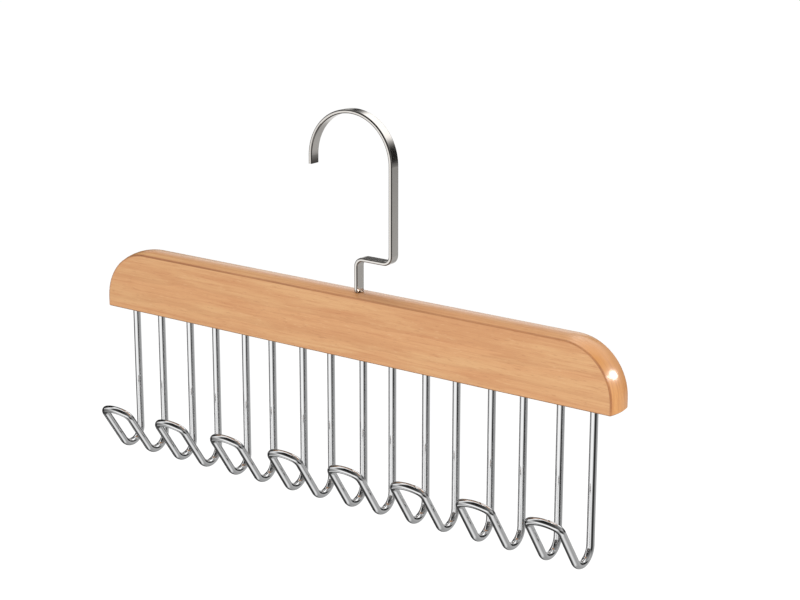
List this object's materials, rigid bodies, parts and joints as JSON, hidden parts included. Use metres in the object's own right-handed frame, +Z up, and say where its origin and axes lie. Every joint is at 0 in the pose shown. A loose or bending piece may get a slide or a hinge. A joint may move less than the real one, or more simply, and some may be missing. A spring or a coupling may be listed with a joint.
{
  "type": "tie hanger",
  "caption": "Hanger for ties, belts and straps: a crowned wooden bar with a row of bent-wire hooks below, hung from a flat strip hook that swivels.",
  "frame": {"origin": "top of the rod space inside the hook's arch, where the hook rests on a wardrobe rod", "axes": "+Z up, +X along the bar away from the side where the arch is open, -Y to the front, where the wire hooks open"},
  "size_m": [0.3224, 0.0395, 0.2056],
  "materials": {
    "beech": "steamed beech with fine lengthwise grain under a clear lacquer",
    "satin_plate": "flat steel strip, drawn smooth and nickel plated, satin on its faces and bright on its edges",
    "bright_plate": "bright plated round steel wire"
  },
  "bodies": {
    "hanging_hook": {"hook": "satin_plate"},
    "hanger": {"bar": "beech", "retaining_pin": "satin_plate", "wire_hook_1": "bright_plate", "wire_hook_2": "bright_plate", "wire_hook_3": "bright_plate", "wire_hook_4": "bright_plate", "wire_hook_5": "bright_plate", "wire_hook_6": "bright_plate", "wire_hook_7": "bright_plate", "wire_hook_8": "bright_plate"}
  },
  "joints": [
    {"name": "bar_swivel", "type": "hinge", "parent": "hanging_hook", "child": "hanger", "pos_m": [0.0035, 0, -0.1004], "axis": [0, 0, 1], "continuous": true}
  ]
}
